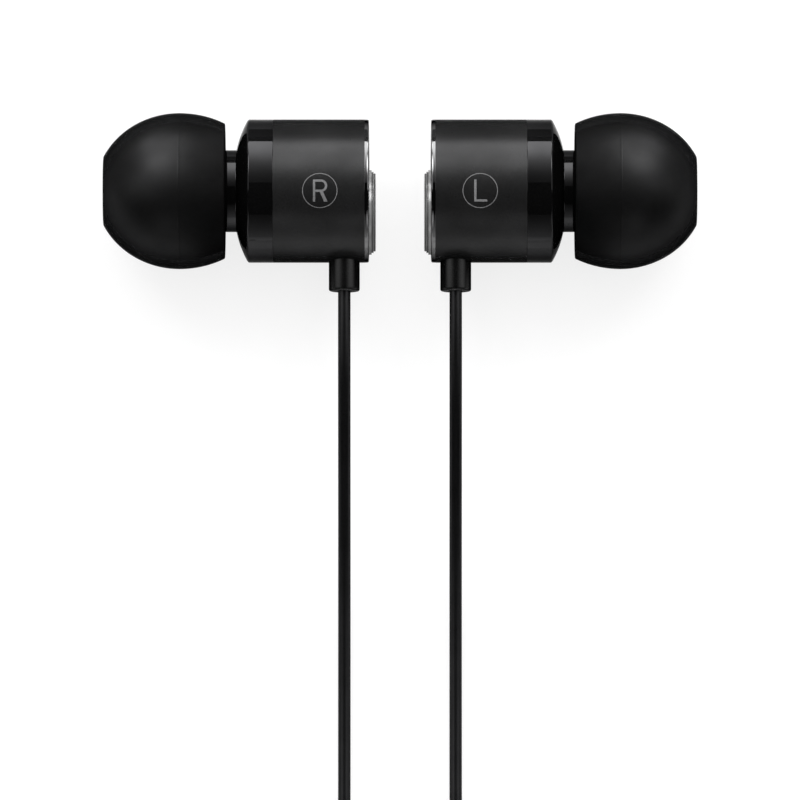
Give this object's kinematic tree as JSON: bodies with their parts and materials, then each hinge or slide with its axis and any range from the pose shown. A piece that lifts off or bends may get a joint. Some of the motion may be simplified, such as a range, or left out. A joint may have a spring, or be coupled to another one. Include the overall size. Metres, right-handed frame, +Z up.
{
  "type": "wired earphones",
  "caption": "Wired in-ear earphones with silicone tips, metal bodies, an inline remote, a splitter, a wound cord and a jack plug.",
  "frame": {"origin": "on the table, midway between the two earbuds and under their common axis line", "axes": "+X through both earbuds towards the left one, +Y away from the cords, +Z up"},
  "size_m": [0.0496, 0.1598, 0.0131],
  "materials": {
    "silicone": "matte",
    "gloss_black": "gloss",
    "mesh_steel": "satin",
    "foam": "matte",
    "black_plastic": "matte",
    "film": "satin",
    "copper": "satin",
    "plated_steel": "satin",
    "magnet_metal": "satin",
    "anodised_black": "satin",
    "polished_metal": "polished",
    "soft_black": "satin",
    "cord_jacket": "satin",
    "satin_plastic": "satin",
    "board_green": "satin",
    "button_plastic": "gloss",
    "insulator": "satin",
    "plated_contact": "polished"
  },
  "bodies": {
    "earphones": {"right_front_housing": "gloss_black", "right_nozzle_mesh": "mesh_steel", "right_nozzle_damper": "foam", "right_driver_gasket": "foam", "right_driver_frame": "black_plastic", "right_diaphragm": "film", "right_voice_coil": "copper", "right_pole_plate": "plated_steel", "right_magnet": "magnet_metal", "right_yoke": "plated_steel", "right_body_sleeve": "anodised_black", "right_rear_cap": "polished_metal", "right_rear_disc": "polished_metal", "right_strain_relief": "soft_black", "right_cord_anchor": "cord_jacket", "left_front_housing": "gloss_black", "left_nozzle_mesh": "mesh_steel", "left_nozzle_damper": "foam", "left_driver_gasket": "foam", "left_driver_frame": "black_plastic", "left_diaphragm": "film", "left_voice_coil": "copper", "left_pole_plate": "plated_steel", "left_magnet": "magnet_metal", "left_yoke": "plated_steel", "left_body_sleeve": "anodised_black", "left_rear_cap": "polished_metal", "left_rear_disc": "polished_metal", "left_strain_relief": "soft_black", "left_cord_anchor": "cord_jacket", "remote_front_shell": "satin_plastic", "remote_back_shell": "satin_plastic", "remote_circuit_board": "board_green", "remote_microphone": "plated_steel", "remote_switch_domes": "mesh_steel", "remote_boots": "soft_black", "splitter_body": "satin_plastic", "splitter_boot": "soft_black", "plug_boot": "soft_black", "plug_grip": "satin_plastic", "plug_insulators": "insulator", "plug_tip_contact": "plated_contact", "plug_ring_contacts": "plated_contact", "plug_sleeve_contact": "plated_contact", "right_cord_upper": "cord_jacket", "right_cord_lower": "cord_jacket", "right_cord_coil": "cord_jacket", "right_cord_tail": "cord_jacket", "left_cord": "cord_jacket", "left_cord_coil": "cord_jacket", "left_cord_tail": "cord_jacket", "main_cord_lead": "cord_jacket", "main_cord_coil": "cord_jacket", "main_cord_tail": "cord_jacket"},
    "right_tip": {"right_ear_tip": "silicone"},
    "left_tip": {"left_ear_tip": "silicone"},
    "volume_up": {"remote_volume_up_button": "button_plastic"},
    "play": {"remote_play_button": "button_plastic"},
    "volume_down": {"remote_volume_down_button": "button_plastic"}
  },
  "joints": [
    {"name": "right_tip_pull", "type": "slide", "parent": "earphones", "child": "right_tip", "axis": [-1, 0, 0], "range_m": [0, 0.0065]},
    {"name": "left_tip_pull", "type": "slide", "parent": "earphones", "child": "left_tip", "axis": [1, 0, 0], "range_m": [0, 0.0065]},
    {"name": "volume_up_press", "type": "slide", "parent": "earphones", "child": "volume_up", "axis": [0, 0, -1], "range_m": [0, 0.00025], "stiffness_N_per_m": 4000},
    {"name": "play_press", "type": "slide", "parent": "earphones", "child": "play", "axis": [0, 0, -1], "range_m": [0, 0.00025], "stiffness_N_per_m": 4000},
    {"name": "volume_down_press", "type": "slide", "parent": "earphones", "child": "volume_down", "axis": [0, 0, -1], "range_m": [0, 0.00025], "stiffness_N_per_m": 4000}
  ]
}
